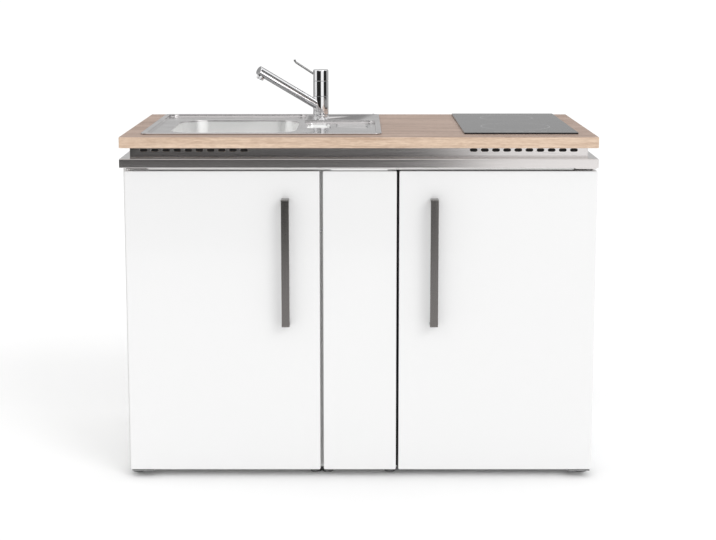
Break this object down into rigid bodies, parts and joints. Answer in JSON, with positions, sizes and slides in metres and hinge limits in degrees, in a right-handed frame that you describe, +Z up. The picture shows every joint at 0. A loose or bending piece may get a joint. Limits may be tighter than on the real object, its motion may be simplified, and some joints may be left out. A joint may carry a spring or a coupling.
{
  "type": "kitchenette unit with sink and hob",
  "caption": "Compact kitchen unit: oak worktop with inset steel sink, mixer tap and glass hob over a sink cabinet, bottle pull-out and under-counter refrigerator.",
  "frame": {"origin": "centre of the bounding box at floor level", "axes": "+X to the right of the fronts, -Y out of the fronts, +Z up"},
  "size_m": [1.2, 0.62, 1.0544],
  "materials": {
    "oak": "light oak laminate, satin",
    "steel": "brushed stainless steel",
    "handle_steel": "brushed stainless steel, dark",
    "chrome": "polished chrome",
    "hob_glass": "dark glass ceramic, opaque",
    "black_enamel": "black satin",
    "white_gloss": "white high gloss",
    "white_board": "white melamine",
    "white_plastic": "white moulded plastic",
    "grey_plastic": "grey moulded plastic",
    "clear_plastic": "clear, slightly blue",
    "gasket": "pale grey seal",
    "foot_metal": "dark nickel"
  },
  "bodies": {
    "cabinet": {"worktop": "oak", "steel_surround": "steel", "rear_rail": "steel", "sink": "steel", "sink_waste": "steel", "bottle_trap": "white_plastic", "tap_base": "chrome", "tap_nut": "chrome", "tap_head": "chrome", "hob_glass": "hob_glass", "hob_base": "black_enamel", "sink_cabinet_left_side": "white_board", "sink_cabinet_right_side": "white_board", "sink_cabinet_floor": "white_board", "sink_cabinet_back": "white_board", "pullout_cabinet_left_side": "white_board", "pullout_cabinet_right_side": "white_board", "pullout_cabinet_floor": "white_board", "door_catch": "chrome", "left_top_hinge_plate": "steel", "left_bottom_hinge_plate": "steel", "right_top_hinge_plate": "steel", "right_bottom_hinge_plate": "steel", "runner_fixed": "steel", "fridge_body": "white_plastic", "fridge_shelf_lower": "clear_plastic", "fridge_shelf_upper": "clear_plastic", "condenser": "black_enamel", "compressor": "black_enamel", "foot_sink_left_front": "foot_metal", "foot_sink_left_rear": "foot_metal", "foot_sink_right_front": "foot_metal", "foot_sink_right_rear": "foot_metal", "foot_pullout_left_front": "foot_metal", "foot_pullout_left_rear": "foot_metal", "foot_pullout_right_front": "foot_metal", "foot_pullout_right_rear": "foot_metal", "foot_fridge_left_front": "foot_metal", "foot_fridge_left_rear": "foot_metal", "foot_fridge_right_front": "foot_metal", "foot_fridge_right_rear": "foot_metal"},
    "left_door": {"left_door": "white_gloss", "left_handle": "handle_steel"},
    "right_door": {"right_door": "white_gloss", "right_handle": "handle_steel", "right_door_liner": "white_plastic", "right_door_gasket": "gasket", "door_rack_lower": "clear_plastic", "door_rack_upper": "clear_plastic"},
    "pullout": {"pullout_front": "white_gloss", "pullout_frame": "steel", "basket_lower": "steel", "basket_upper": "steel"},
    "runner_middle": {"runner_middle": "steel"},
    "tap_spout": {"tap_spout": "chrome", "tap_aerator": "chrome"},
    "tap_cap": {"tap_cap": "chrome"},
    "tap_lever": {"tap_lever": "chrome"},
    "sink_strainer": {"sink_strainer": "steel"},
    "thermostat_knob": {"thermostat_knob": "grey_plastic"}
  },
  "joints": [
    {"name": "left_door_hinge", "type": "hinge", "parent": "cabinet", "child": "left_door", "pos_m": [-0.579, -0.269, 0.409], "axis": [0, 0, -1], "range_deg": [0, 110]},
    {"name": "right_door_hinge", "type": "hinge", "parent": "cabinet", "child": "right_door", "pos_m": [0.59, -0.258, 0.409], "axis": [0, 0, 1], "range_deg": [0, 110]},
    {"name": "pullout_slide", "type": "slide", "parent": "cabinet", "child": "pullout", "axis": [0, -1, 0], "range_m": [0, 0.44]},
    {"name": "runner_middle_slide", "type": "slide", "parent": "cabinet", "child": "runner_middle", "axis": [0, -1, 0], "range_m": [0, 0.22]},
    {"name": "spout_swivel", "type": "hinge", "parent": "cabinet", "child": "tap_spout", "pos_m": [-0.105, 0.125, 0.9328], "axis": [0, 0, 1], "range_deg": [-110, 200]},
    {"name": "cap_turn", "type": "hinge", "parent": "cabinet", "child": "tap_cap", "pos_m": [-0.105, 0.125, 1.0018], "axis": [0, 0, 1], "range_deg": [-45, 45]},
    {"name": "lever_tilt", "type": "hinge", "parent": "tap_cap", "child": "tap_lever", "pos_m": [-0.105, 0.125, 1.0018], "axis": [0, 1, 0], "range_deg": [0, 22]},
    {"name": "strainer_lift", "type": "slide", "parent": "cabinet", "child": "sink_strainer", "axis": [0, 0, 1], "range_m": [0, 0.06]},
    {"name": "thermostat_turn", "type": "hinge", "parent": "cabinet", "child": "thermostat_knob", "pos_m": [0.494, -0.1527, 0.7547], "axis": [0, -1, 0], "range_deg": [0, 270]}
  ],
  "couplings": [
    {"joint": "runner_middle_slide", "follows": "pullout_slide", "ratio": 0.5}
  ]
}
